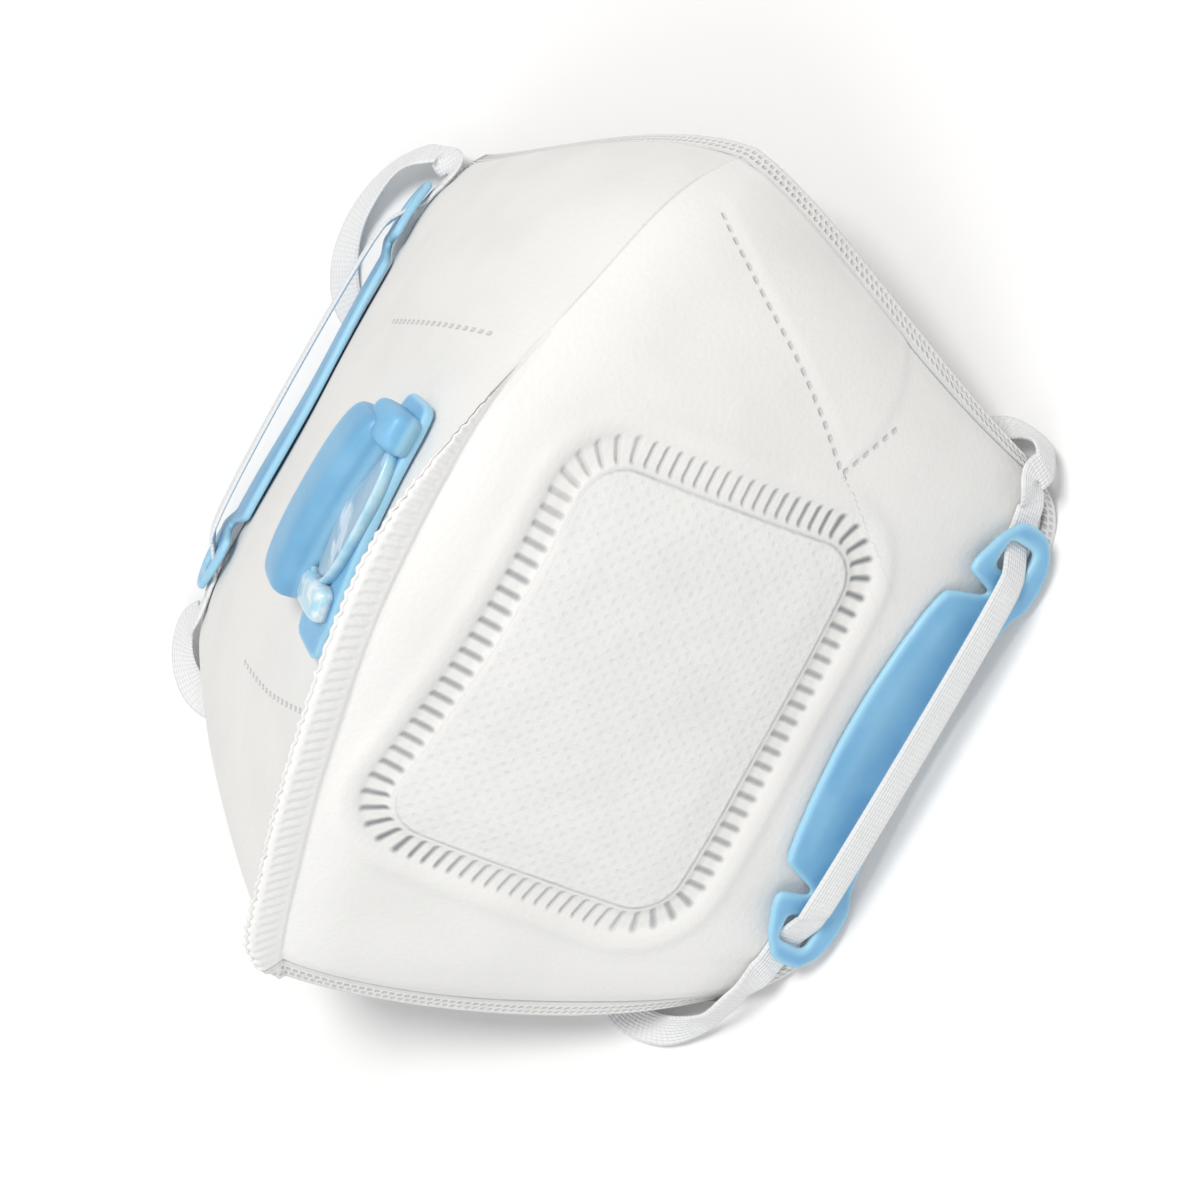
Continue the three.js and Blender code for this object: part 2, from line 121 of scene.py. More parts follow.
class Shader:
    def __init__(self, name, roughness=0.5, **fixed):
        self.material = bpy.data.materials.new(name)
        self.material.use_nodes = True
        self.tree = self.material.node_tree
        self.surface = self.tree.nodes["Principled BSDF"]
        self.surface.inputs["Roughness"].default_value = roughness
        for label, value in fixed.items():
            self.surface.inputs[label.replace("_", " ")].default_value = value

    def node(self, kind, settings=None, values=None, out=0):
        made = self.tree.nodes.new(kind)
        for key, value in (settings or {}).items():
            if key == "stops":
                ramp = made.color_ramp.elements
                while len(ramp) < len(value):
                    ramp.new(0.5)
                for element, (at, colour) in zip(ramp, value):
                    element.position, element.color = at, (*colour, 1)
            else:
                setattr(made, key, value)
        for key, value in (values or {}).items():
            if isinstance(value, Value):
                self.tree.links.new(value.socket, made.inputs[key])
            elif isinstance(value, tuple) and len(value) == 3 and made.inputs[key].type == "RGBA":
                made.inputs[key].default_value = (*value, 1)
            else:
                made.inputs[key].default_value = value
        return Value(self, made.outputs[out])

    def place(self):
        return self.node("ShaderNodeTexCoord", out="Object")

    def map(self, name):  # both numbers of a UV map, in millimetres
        pair = self.node("ShaderNodeUVMap", {"uv_map": name})
        split = self.tree.nodes.new("ShaderNodeSeparateXYZ")
        self.tree.links.new(pair.socket, split.inputs[0])
        return Value(self, split.outputs[0]), Value(self, split.outputs[1])

    def noise(self, size, detail=3.0, roughness=0.55, place=None, stretch=None):
        place = place or self.place()
        if stretch:
            place = self.node("ShaderNodeVectorMath", {"operation": "MULTIPLY"}, {0: place, 1: stretch})
        return self.node("ShaderNodeTexNoise", {}, {"Vector": place, "Scale": 1 / (size * mm),
                                                    "Detail": detail, "Roughness": roughness})

    def cells(self, size, place=None):
        return self.node("ShaderNodeTexVoronoi", {"feature": "SMOOTH_F1"},
                         {"Vector": place or self.place(), "Scale": 1 / (size * mm), "Smoothness": 0.6})

    def mix(self, first, second, factor):
        return self.node("ShaderNodeMix", {"data_type": "RGBA"}, {0: factor, 6: first, 7: second}, out=2)

    def colour(self, value):
        self.tree.links.new(value.socket, self.surface.inputs["Base Color"])

    def rough(self, value):
        self.tree.links.new(value.socket, self.surface.inputs["Roughness"])

    def relief(self, height, strength=1.0):  # height in millimetres
        bump = self.node("ShaderNodeBump", {}, {"Height": height, "Distance": mm, "Strength": strength})
        self.tree.links.new(bump.socket, self.surface.inputs["Normal"])


# The shell's outer surface, the same table of ribs as the solid part
shape = {
    "wall": 1.5, "gap": 0.3, "slide": 6.6, "rise": 6.9, "ribLength": 108.0,
    "hemTop": 5.0, "hemBottom": 5.5, "hemSide": 4.0, "cornerGap": 0.8,
    "columns": 168, "rows": 232, "finColumns": 11,
}
ribTable = np.array([
    [(58, -52.5, -1), (41.5, -70.5, 8), (11, -83.5, 20), (0, -84, 35)],
    [(63.6, -46, -4.2), (48.5, -57, 15.5), (16, -77, 29), (0, -79.5, 41)],
    [(66.8, -36, -7.8), (50.5, -47, 21), (20, -66, 36), (0, -68, 50)],
    [(66, -20, -4.9), (48.5, -27, 28), (24.5, -41, 48), (0, -45, 65)],
    [(65.4, 0, -4.5), (46.8, -2.5, 31), (26.5, -11, 60), (0, -14, 78.5)],
    [(66, 20, -4.9), (47.8, 20.5, 31), (27, 17, 62), (0, 16, 80.3)],
    [(66.8, 36, -7.8), (50, 38, 25), (27, 43, 57), (0, 42, 67)],
    [(64, 46, -5.6), (47.5, 48.5, 18.5), (24, 57, 50), (0, 60, 54.5)],
    [(57.5, 51.5, 1), (39, 57, 17), (17, 70.5, 34.5), (0, 73.3, 35)],
], float)
fin = {"half": 0.85, "height": 6.6, "lean": 0.36, "chinShare": 0.12, "fullFrom": 0.2, "fade": (0.5, 0.7)}
ring = {
    "middle": (30.5, -6.6, 50.2), "up": (0.04, 0.98, 0.19), "out": (0.61, 0.09, -0.79),
    "tall": 80, "wide": 63,
    "corner": 13, "band": 5, "depth": 0.7, "puff": 0.5, "bars": 92, "sidePace": 0.8, "cornerPace": 0.77,
}
seamPitch = 2.3
seams = {  # rows of stitch-like welds, as places on the shell
    "left": [[(0.91, 0.885), (0.80, 0.85), (0.64, 0.79), (0.45, 0.71), (0.41, 0.80)]],
    "right": [
        [(0.485, 0.624), (0.70, 0.648), (0.897, 0.668)],
        [(0.514, 0.325), (0.70, 0.352), (0.89, 0.385)],
    ],
}


def smooth(x, low, high):
    t = np.clip((np.asarray(x, float) - low) / (high - low), 0, 1)
    return t * t * (3 - 2 * t)


def skin(u, v):
    u, v = np.broadcast_arrays(np.asarray(u, float), np.asarray(v, float))
    count = len(ribTable) - 1
    padded = np.concatenate([[2 * ribTable[0] - ribTable[1]], ribTable, [2 * ribTable[-1] - ribTable[-2]]])
    at = np.clip(v, 0, 1) * count
    i = np.minimum(at.astype(int), count - 1)
    w = (at - i)[..., None, None]
    p0, p1, p2, p3 = (padded[i + k] for k in range(4))
    t0, t1 = 0.5 * (p2 - p0), 0.5 * (p3 - p1)
    rib = ((2 * w**3 - 3 * w**2 + 1) * p1 + (w**3 - 2 * w**2 + w) * t0 + (3 * w**2 - 2 * w**3) * p2
           + (w**3 - w**2) * t1) + np.array([0, shape["slide"], shape["rise"]])
    rib[..., 0, 2] = np.maximum(rib[..., 0, 2], 0)
    u = u[..., None]
    return ((1 - u)**3 * rib[..., 0, :] + 3 * (1 - u)**2 * u * rib[..., 1, :]
            + 3 * (1 - u) * u**2 * rib[..., 2, :] + u**3 * rib[..., 3, :])


def roundedCrest(v, bare, reach=9.0):  # above the fin both panels join in one smooth dome
    near = np.clip(np.abs(bare[..., 0]), 0, None)
    ridge = skinNormal(np.ones_like(v), v)
    upright = ridge * np.array([0, 1, 1])
    size = np.maximum(np.linalg.norm(upright, axis=-1), 1e-6)
    tilt = ridge[..., 0] / size
    grown = smooth(v, fin["fade"][0] - 0.06, fin["fade"][1])
    drop = tilt * (np.sqrt(near**2 + reach**2) - near) * 0.5 * grown
    return bare - upright / size[..., None] * drop[..., None]


def footHalf(v):  # half the ridge's thickness at its foot
    return fin["half"] - (fin["half"] - 0.02) * smooth(v, fin["fade"][0], fin["fade"][1])


def unit(p):
    return p / np.maximum(np.linalg.norm(p, axis=-1, keepdims=True), 1e-9)


def skinNormal(u, v, step=1.5e-3):
    alongMask = skin(u, np.minimum(v + step, 1)) - skin(u, np.maximum(v - step, 0))
    alongRib = skin(np.minimum(u + step, 1), v) - skin(np.maximum(u - step, 0), v)
    return unit(np.cross(alongMask, alongRib))


# Where a point of each rib lies that far in from the chin edge (0) or the nose edge (1).
def inFrom(end, distance, u):
    u = np.asarray(u, float)
    start, near, far = skin(u, np.full_like(u, end)), np.full_like(u, end), np.full_like(u, 0.5)
    for _ in range(24):
        middle = (near + far) / 2
        short = np.linalg.norm(skin(u, middle) - start, axis=-1) < distance
        near, far = np.where(short, middle, near), np.where(short, far, middle)
    return (near + far) / 2


def meshPiece(name, points, quads, maps=None, material=None, body="root"):
    mesh = bpy.data.meshes.new(name)
    mesh.from_pydata((np.asarray(points) * mm).tolist(), [], np.asarray(quads).tolist())
    mesh.polygons.foreach_set("use_smooth", np.ones(len(mesh.polygons), bool))
    loops = np.empty(len(mesh.loops), np.int32)
    mesh.loops.foreach_get("vertex_index", loops)
    for label, (pairs, around) in (maps or {}).items():
        corner = np.asarray(pairs, float)[loops]
        if around:  # a map that runs round a loop is joined up inside each face
            four = corner[:, 0].reshape(-1, 4)
            four += np.where(four.max(1, keepdims=True) - four > around / 2, around, 0)
            corner[:, 0] = four.ravel()
        mesh.uv_layers.new(name=label).data.foreach_set("uv", corner.astype(np.float32).ravel())
    mesh.validate()
    made = bpy.data.objects.new(name, mesh)
    bpy.context.scene.collection.objects.link(made)
    if material:
        mesh.materials.append(material)
    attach(made, body)
    return made


def shellQuads(lines, points, flipped, keep=None):  # a closed wall between an outer and an inner grid
    filled = np.ones((lines - 1, points - 1), bool) if keep is None else keep
    number = np.arange(2 * lines * points).reshape(2, lines, points)
    i, j = np.nonzero(filled)
    corners = [(i, j), (i, j + 1), (i + 1, j + 1), (i + 1, j)]
    out = np.stack([number[0][c] for c in corners], 1)
    inn = np.stack([number[1][c] for c in corners], 1)
    quads = [out, inn[:, ::-1]]
    padded = np.pad(filled, 1)
    for k, (di, dj) in enumerate([(-1, 0), (0, 1), (1, 0), (0, -1)]):
        free = ~padded[i + 1 + di, j + 1 + dj]
        p, q = corners[k], corners[(k + 1) % 4]
        quads.append(np.stack([number[0][q], number[0][p], number[1][p], number[1][q]], 1)[free])
    quads = np.concatenate(quads)
    return quads[:, ::-1] if flipped else quads


def finHeight(v):
    chin = fin["chinShare"] + (1 - fin["chinShare"]) * smooth(v, 0, fin["fullFrom"])
    return 0.04 + (fin["height"] - 0.04) * chin * (1 - smooth(v, *fin["fade"]))


def ringPlace(p):  # distance in from the ring's outline, and the way round it
    away = p - np.array(ring["middle"])
    x = away @ np.array(ring["out"]) / np.linalg.norm(ring["out"])
    y = away @ np.array(ring["up"]) / np.linalg.norm(ring["up"])
    r, turn = ring["corner"], ring["corner"] - ring["band"] / 2
    a, b = ring["wide"] / 2 - r, ring["tall"] / 2 - r
    qx, qy = np.abs(x) - a, np.abs(y) - b
    inside = r - np.hypot(np.maximum(qx, 0), np.maximum(qy, 0)) - np.minimum(np.maximum(qx, qy), 0)
    arc = turn * math.pi / 2
    bend = turn * np.arctan2(np.maximum(qx, 0), np.maximum(qy, 1e-6))
    cx, cy = np.clip(x, -a, a), np.clip(y, -b, b)
    level = qy * 1.0 > qx
    top, low = y > 0, x > 0
    corner = (qx > 0) & (qy > 0)
    start = {"top": 0, "topRight": 2 * a, "right": 2 * a + arc, "bottomRight": 2 * a + arc + 2 * b,
             "bottom": 2 * a + 2 * arc + 2 * b, "bottomLeft": 4 * a + 2 * arc + 2 * b,
             "left": 4 * a + 3 * arc + 2 * b, "topLeft": 4 * a + 3 * arc + 4 * b}
    s = np.where(corner & top & low, start["topRight"] + bend, 0.0)
    s = np.where(corner & ~top & low, start["bottomRight"] + arc - bend, s)
    s = np.where(corner & ~top & ~low, start["bottomLeft"] + bend, s)
    s = np.where(corner & top & ~low, start["topLeft"] + arc - bend, s)
    s = np.where(~corner & level & top, cx + a, s)
    s = np.where(~corner & level & ~top, start["bottom"] + a - cx, s)
    s = np.where(~corner & ~level & low, start["right"] + b - cy, s)
    s = np.where(~corner & ~level & ~low, start["left"] + b + cy, s)
    lengths = np.array([2 * a, arc, 2 * b, arc] * 2)
    paces = np.array([1, ring["cornerPace"], ring["sidePace"], ring["cornerPace"]] * 2)
    way, paced = (np.concatenate([[0], np.cumsum(part)]) for part in (lengths, lengths * paces))
    return inside, np.interp(s, way, paced) * ring["bars"] / paced[-1], x, y


def seamPlace(p, normal, lines):  # way along the nearest row of welds and signed distance from it
    best, way = np.full(p.shape[:-1], 99.0), np.zeros(p.shape[:-1])
    done = 0.0
    for line in lines:
        knots = np.array(line)
        parts = [np.linspace(a, b, 7)[:-1] for a, b in zip(knots[:-1], knots[1:])]
        fine = np.concatenate(parts + [knots[-1:]])
        route = skin(fine[:, 0], fine[:, 1])
        total = np.linalg.norm(np.diff(route, axis=0), axis=1).sum()
        pace = round(total / seamPitch) / total  # whole dashes, so that none lies past either end
        for start, end in zip(route[:-1], route[1:]):
            run = end - start
            length = np.linalg.norm(run)
            share = np.clip(((p - start) @ run) / length**2, 0, 1)
            off = p - (start + share[..., None] * run)
            distance = np.linalg.norm(off, axis=-1)
            side = np.sign(np.einsum("...k,...k", np.cross(run, off), normal))
            nearer = distance < np.abs(best)
            best = np.where(nearer, distance * np.where(side == 0, 1, side), best)
            way = np.where(nearer, done + share * length * pace, way)
            done += length * pace
    return best, way


def ribInner(u, outer, normal, wall):
    inner = outer - wall * normal
    inner[..., 0] = np.maximum(inner[..., 0], shape["gap"] / 2)
    flat = unit(normal * np.array([1, 1, 0]))
    inner = np.where((u == 0)[..., None], outer - wall * flat, inner)
    upright = normal * np.array([0, 1, 1])
    mitre = outer - wall * upright / np.maximum((upright**2).sum(-1, keepdims=True), 1e-9)
    return np.where((u == 1)[..., None], mitre, inner)


# Grids over the wearer's left half, or over the right one mirrored. finPart adds the ridge's half fin.
def halfGrids(places, low, high, rows, relief, lean, wall, finPart=True):
    u = np.repeat(np.asarray(places)[:, None], rows + 1, 1)
    share = np.linspace(0, 1, rows + 1)[None, :]
    v = low[:, None] + (high - low)[:, None] * share
    bare, normal = skin(u, v), skinNormal(u, v)
    inner = ribInner(u, bare, normal, wall)
    raised = relief(u, v, bare)
    bare = roundedCrest(v, bare)
    outer = bare + normal * raised[..., None]
    outer[..., 0] = np.maximum(outer[..., 0], footHalf(v) if finPart else 0)
    height = np.zeros_like(u)
    ridge = bare[-1]
    height -= np.linalg.norm(bare - ridge[None], axis=-1)
    if finPart:
        tall = finHeight(v[-1])
        way = np.concatenate([[0], np.cumsum(np.linalg.norm(np.diff(ridge, axis=0), axis=-1))])
        tall = tall + np.where(tall > 2, 0.22 * np.sin(way * 2 * math.pi / 1.9) + 0.1 * np.sin(way * 1.37), 0)
        upright = unit(normal[-1] * np.array([0, 1, 1]))
        shares = np.linspace(0, 1, shape["finColumns"] + 1)[1:]
        rise = shares[:, None] * tall[None]
        bend = lean * (tall / fin["height"])[None] * (0.55 + 0.45 * shares[:, None])
        tip = ridge[None] + upright[None] * (rise * np.cos(bend))[..., None]
        tip[..., 0] += rise * np.sin(bend)
        face, middle = tip.copy(), tip.copy()
        thinned = fin["half"] - 0.1 * shares[:, None] - 0.25 * smooth(shares, 0.9, 1)[:, None]
        face[..., 0] += (footHalf(v[-1]) / fin["half"])[None] * thinned
        middle[..., 0] += np.minimum(shape["gap"] / 2, footHalf(v[-1]) * 0.6)
        outer, inner = np.concatenate([outer, face]), np.concatenate([inner, middle])
        height = np.concatenate([height, rise])
        u = np.concatenate([u, 1 + shares[:, None] + 0 * rise])
        v = np.concatenate([v, np.repeat(v[-1:], len(shares), 0)])
    return u, v, outer, inner, height, normal


def alongRidge(v):
    fine = np.linspace(0, 1, 401)
    ridge = skin(np.ones(401), fine)
    way = np.concatenate([[0], np.cumsum(np.linalg.norm(np.diff(ridge, axis=0), axis=-1))])
    return np.interp(v, fine, way)


def flipX(grid):
    return grid * np.array([-1, 1, 1])


def both(*grids):
    return np.concatenate([np.asarray(g).reshape(-1, np.asarray(g).shape[-1]) for g in grids])


def sameMap(places, around=0):  # the same map on the outer and the inner face
    return both(places, places), around


def pairMap(first, second, around=0):
    return sameMap(np.stack([first, second], -1), around)


# Nonwoven finishes
cloth = {
    # painted_light is painted light, used on the panel near the ridge and on the fin
    "white": (0.83, 0.825, 0.808), "painted_light": (0.93, 0.925, 0.91),
    # shade is painted shade, used in recesses, in gaps and along the ring's rim
    "shade": (0.62, 0.635, 0.645), "deep": (0.33, 0.35, 0.38),
}


def nonwoven(name, ringed=False, seamed=False, finned=False, dots=0):
    s = Shader(name, roughness=0.92, Specular_IOR_Level=0.25, Sheen_Weight=0.12, Sheen_Roughness=0.6)
    felt = s.noise(0.55, 4.0, 0.65)
    fibre = s.noise(1.3, 3.0, 0.6, stretch=(1.0, 0.35, 1.0))
    cloud = s.noise(16, 2.0, 0.5)
    pinch = s.cells(0.95)
    height = felt * 0.055 + fibre * 0.04 + pinch * 0.05
    colour = s.mix(cloth["white"], tuple(c * 0.955 for c in cloth["white"]), cloud.smooth(0.35, 0.75))
    colour = s.mix(colour, tuple(c * 0.93 for c in cloth["white"]), felt.smooth(0.52, 0.75) * 0.5)
    if ringed:
        bar, inside = s.map("ring")
        x, y = s.map("patch")
        band = inside.band(0.5, ring["band"] - 0.4, 0.5)
        slit = (bar + inside * 0.04).stripe(1.0, 0.26, 0.16) * band
        rim = inside.band(ring["band"] + 0.2, ring["band"] + 0.8, 0.4)
        patch = inside.smooth(ring["band"] + 0.2, ring["band"] + 1.0)
        grid = ((x * 2.3 + y * 0.2).sin() * (y * 2.3 - x * 0.2).sin()).smooth(0.25, 0.8)
        crease = s.noise(7.0, 3.0, 0.6, stretch=(0.6, 1.5, 1.0))
        height = height - slit * 0.4 - rim * 0.1 + patch * (crease * 0.55 - grid * 0.045)
        # Painted shadow in the ring's slits: a little in all of them, more towards the upper outer corner,
        # the lower inner corner and along both sides of the ring.
        upperFar = (x + y).smooth(34, 60)
        lowerNear = (0 - x - y).smooth(38, 62)
        far, near = x.smooth(18, 30), (0 - x).smooth(20, 29) * (1 - y.smooth(10, 36))
        paintedSlitShadow = slit * (upperFar.most(lowerNear).most(far * 0.55).most(near * 0.6) * 0.78 + 0.22)
        colour = s.mix(colour, (0.80, 0.805, 0.80), patch * (crease.smooth(0.3, 0.7) * 0.4 + 0.1))
        # Painted shade in the dimples of the embossed grid.
        colour = s.mix(colour, cloth["shade"], grid * patch * 0.16)
        colour = s.mix(colour, (0.21, 0.23, 0.25), paintedSlitShadow)
        # Painted shade along the upper part of the ring's outer rim.
        colour = s.mix(colour, cloth["shade"], rim * y.smooth(18, 30) * 0.6)
    if seamed:
        off, way = s.map("seam")
        dash = way.stripe(1.0, 0.5, 0.14) * (1 - abs(off).smooth(0.15, 0.55))
        height = height - dash * 0.25
        colour = s.mix(colour, cloth["deep"], dash * 0.36)
    if finned:
        way, up = s.map("fin")
        weld = way.stripe(1.9, 0.4, 0.25) * up.band(1.4, 5.4, 0.6)
        height = height - weld * 0.22
        # Painted light: the panel just below the ridge and the face of the fin are coloured lighter, standing
        # in for the light that falls on them.
        paintedRidgeLight = up.smooth(-14, -2) * (0.5 if ringed else 0.1)
        colour = s.mix(colour, cloth["painted_light"], paintedRidgeLight + up.smooth(0.1, 1.0) * 0.5)
    if dots:
        way, inwards = s.map("hem")
        for k in range(dots):
            at = 1.4 + k * 1.7
            spot = (1 - abs(inwards - at).smooth(0.25, 0.55)) * (way + k * 0.6).stripe(1.25, 0.42, 0.14)
            height = height - spot * 0.3
            colour = s.mix(colour, cloth["deep"], spot * 0.26)
        ridges = way.stripe(1.25, 0.5, 0.2) * inwards.band(0.3, 3.9, 0.3)
        height = height + ridges * 0.07
        # Painted shade in the gap where the hem meets the panel.
        colour = s.mix(colour, cloth["shade"], inwards.smooth(3.9, 4.6) * 0.4)
    s.colour(colour)
    s.relief(height)
    return s.material


# Panels
sideShare = (shape["hemSide"] + shape["gap"]) / shape["ribLength"]
valveHole = {"ribs": (0.70, 0.85), "heights": (0.462, 0.567)}  # behind the valve, as shares of the panel


def borderDip(u, v):  # the panel's edge is drawn down to the hems
    low, high = inFrom(0, shape["hemBottom"], u[:, 0]), inFrom(1, shape["hemTop"], u[:, 0])
    reach = np.linalg.norm(skin(u[:, 0], high) - skin(u[:, 0], low), axis=-1)[:, None]
    share = (v - low[:, None]) / (high - low)[:, None]
    near = np.minimum(share, 1 - share) * reach * 1.15
    near = np.minimum(near, (u - sideShare) * shape["ribLength"])
    return -0.45 * (1 - smooth(near, 0, 1.6)) + 0.25 * smooth(near, 1.5, 7)


def softUneven(p, phase):  # slow unevenness of a hand-opened shell
    x, y, z = (p[..., k] for k in range(3))
    broad = 0.16 * np.sin(x * 0.11 + z * 0.07 + phase) * np.sin(y * 0.09 - z * 0.05 + phase * 2)
    return broad + 0.1 * np.sin(y * 0.17 + x * 0.05 + phase * 3) * np.sin(z * 0.13 + phase)


def leftRelief(u, v, p):
    inside = ringPlace(p)[0]
    channel = smooth(inside, -0.6, 1.2) * (1 - smooth(inside, ring["band"] - 1.2, ring["band"] + 0.4))
    pocketLine = np.interp(u, *zip(*seams["left"][0][::-1]))
    pocket = smooth(v - pocketLine, 0.0, 0.02) * smooth(u, 0.42, 0.45) * (1 - smooth(u, 0.9, 0.97))
    puff = ring["puff"] * smooth(inside, ring["band"], ring["band"] + 8)
    shoulder = 0.45 * np.exp(-((inside + 2.2) / 1.6)**2)
    return puff - ring["depth"] * channel + shoulder + 0.35 * pocket + borderDip(u, v) + softUneven(p, 0.4)


def rightRelief(u, v, p):
    return borderDip(u, v) + softUneven(p, 2.1)


def addPanels():
    places = np.linspace(sideShare, 1, shape["columns"] + 1)
    low, high = inFrom(0, shape["hemBottom"], places), inFrom(1, shape["hemTop"], places)
    for side, relief, lean in (("left", leftRelief, -fin["lean"]), ("right", rightRelief, fin["lean"])):
        u, v, outer, inner, height, _ = halfGrids(places, low, high, shape["rows"], relief, lean,
                                                  shape["wall"])
        bare, normal = skin(np.minimum(u, 1), v), skinNormal(np.minimum(u, 1), v)
        off, way = seamPlace(bare, normal, seams[side])
        off = np.where(u > 1, 99, off)
        maps = {"fin": pairMap(alongRidge(v), height), "seam": pairMap(off, way)}
        keep = None
        if side == "left":
            inside, bar, x, y = ringPlace(bare)
            inside = np.where(u > 1, -20, inside)
            maps["ring"] = pairMap(bar, inside, ring["bars"])
            maps["patch"] = pairMap(x, y)
        else:
            middles = ((place[:-1, :-1] + place[1:, 1:]) / 2 for place in (u, v))
            limits = (valveHole["ribs"], valveHole["heights"])
            within = [(place > start) & (place < end) for place, (start, end) in zip(middles, limits)]
            keep = ~(within[0] & within[1])
        grids = (outer, inner) if side == "left" else (flipX(outer), flipX(inner))
        quads = shellQuads(*outer.shape[:2], side == "right", keep)
        finish = nonwoven(f"nonwoven {side}", ringed=side == "left", seamed=True, finned=True)
        piece = meshPiece(f"shell_{side}", both(*grids), quads, maps, finish)
        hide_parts(f"panel_{side}")


addPanels()
print("panels made")


# Hems
hem = {"thick": 1.1, "stepsUp": 14, "columns": 190, "cheekColumns": 10, "cheekRows": 300}


def hemRelief(u, v, p):
    return -0.1 + softUneven(p, 1.2) * 0.6


def hemMap(outer, end):  # way along the hem and distance in from its free edge
    edge = outer[:, end]
    way = np.concatenate([[0], np.cumsum(np.linalg.norm(np.diff(edge, axis=0), axis=-1))])
    inwards = np.linalg.norm(outer - edge[:, None], axis=-1)
    return np.stack([np.broadcast_to(way[:, None], inwards.shape), inwards], -1)


def addHems():
    places = np.concatenate([[0], np.linspace(sideShare, 1, hem["columns"])])
    topStart = inFrom(1, shape["hemTop"] - shape["gap"], places)
    top = halfGrids(places, topStart, np.ones_like(places), hem["stepsUp"],
                    hemRelief, 0, hem["thick"], finPart=False)
    outer = np.concatenate([top[2], flipX(top[2])[::-1][1:]])
    inner = np.concatenate([top[3], flipX(top[3])[::-1][1:]])
    maps = {"hem": sameMap(hemMap(outer, -1))}
    dotted = nonwoven("nonwoven top hem", dots=2)
    twice = nonwoven("nonwoven lower hem", dots=2, finned=True)
    piece = meshPiece("hem_over_nose", both(outer, inner), shellQuads(*outer.shape[:2], False), maps, dotted)
    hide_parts("hem_top")

    for side, lean in (("left", -fin["lean"]), ("right", fin["lean"])):
        chinEnd = inFrom(0, shape["hemBottom"] - shape["gap"], places)
        _, v, outer, inner, height, _ = halfGrids(places, np.zeros_like(places), chinEnd,
                                                  hem["stepsUp"], hemRelief, lean, hem["thick"])
        maps = {"hem": sameMap(hemMap(outer, 0)), "fin": pairMap(alongRidge(v), height)}
        grids = (outer, inner) if side == "left" else (flipX(outer), flipX(inner))
        quads = shellQuads(*outer.shape[:2], side == "right")
        piece = meshPiece(f"hem_under_chin_{side}", both(*grids), quads, maps, twice)
        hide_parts(f"hem_bottom_{side}")

        cheek = np.linspace(0, shape["hemSide"] / shape["ribLength"], hem["cheekColumns"] + 1)
        low = inFrom(0, shape["hemBottom"] + shape["cornerGap"], cheek)
        high = inFrom(1, shape["hemTop"], cheek)
        _, _, outer, inner, _, _ = halfGrids(cheek, low, high, hem["cheekRows"], hemRelief, 0, hem["thick"],
                                             finPart=False)
        turned = outer.transpose(1, 0, 2)
        maps = {"hem": sameMap(hemMap(turned, 0).transpose(1, 0, 2))}
        grids = (outer, inner) if side == "left" else (flipX(outer), flipX(inner))
        quads = shellQuads(*outer.shape[:2], side == "right")
        piece = meshPiece(f"hem_at_cheek_{side}", both(*grids), quads, maps, dotted)
        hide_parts(f"hem_side_{side}")


addHems()
print("hems made")


# Plastic finishes
def bluePlastic(name, paintedEdgeLight=0.9, tone=1.0):
    s = Shader(name, roughness=0.42, Subsurface_Weight=0.25, Subsurface_Radius=(0.001, 0.0022, 0.003),
               Subsurface_Scale=1.0, Coat_Weight=0.12, Coat_Roughness=0.3)
    rim, centre = s.map("rim")
    cloud = s.noise(9, 2.0, 0.5)
    deeper, lighter = (tuple(c * tone for c in blue) for blue in ((0.175, 0.445, 0.71), (0.225, 0.51, 0.76)))
    colour = s.mix(deeper, lighter, cloud.smooth(0.3, 0.7))
    # Painted highlight: lighter blue within a little of every edge.
    colour = s.mix((0.35, 0.63, 0.83), colour, rim.smooth(0.0, 1.7 * paintedEdgeLight))
    # Painted highlight along the middle of each clip's blade.
    colour = s.mix(colour, (0.30, 0.58, 0.80), centre.smooth(0.2, 1.0) * 0.35)
    s.colour(colour)
    s.rough(0.38 + s.noise(0.7, 3.0) * 0.12)
    s.relief(s.noise(0.5, 2.0) * 0.02 + s.noise(5, 2.0) * 0.12)
    return s.material


def outlineDistance(points, outline):
    best = np.full(len(points), 99.0)
    for a, b in zip(outline, np.roll(outline, -1, 0)):
        run = b - a
        share = np.clip(((points - a) @ run) / max(run @ run, 1e-9), 0, 1)
        best = np.minimum(best, np.linalg.norm(points - a - share[:, None] * run, axis=1))
    return best


def roundedLine(rows, steps=8):  # a closed line through the rows, evened out into a smooth one
    rows = np.array(rows, float)
    padded = np.concatenate([rows[-1:], rows, rows[:2]])
    parts = []
    for k in range(len(rows)):
        p0, p1, p2, p3 = padded[k:k + 4]
        t = np.linspace(0, 1, steps, endpoint=False)[:, None]
        square, cube = 2 * p0 - 5 * p1 + 4 * p2 - p3, 3 * p1 - p0 - 3 * p2 + p3
        parts.append(0.5 * (2 * p1 + (p2 - p0) * t + square * t**2 + cube * t**3))
    return np.concatenate(parts)


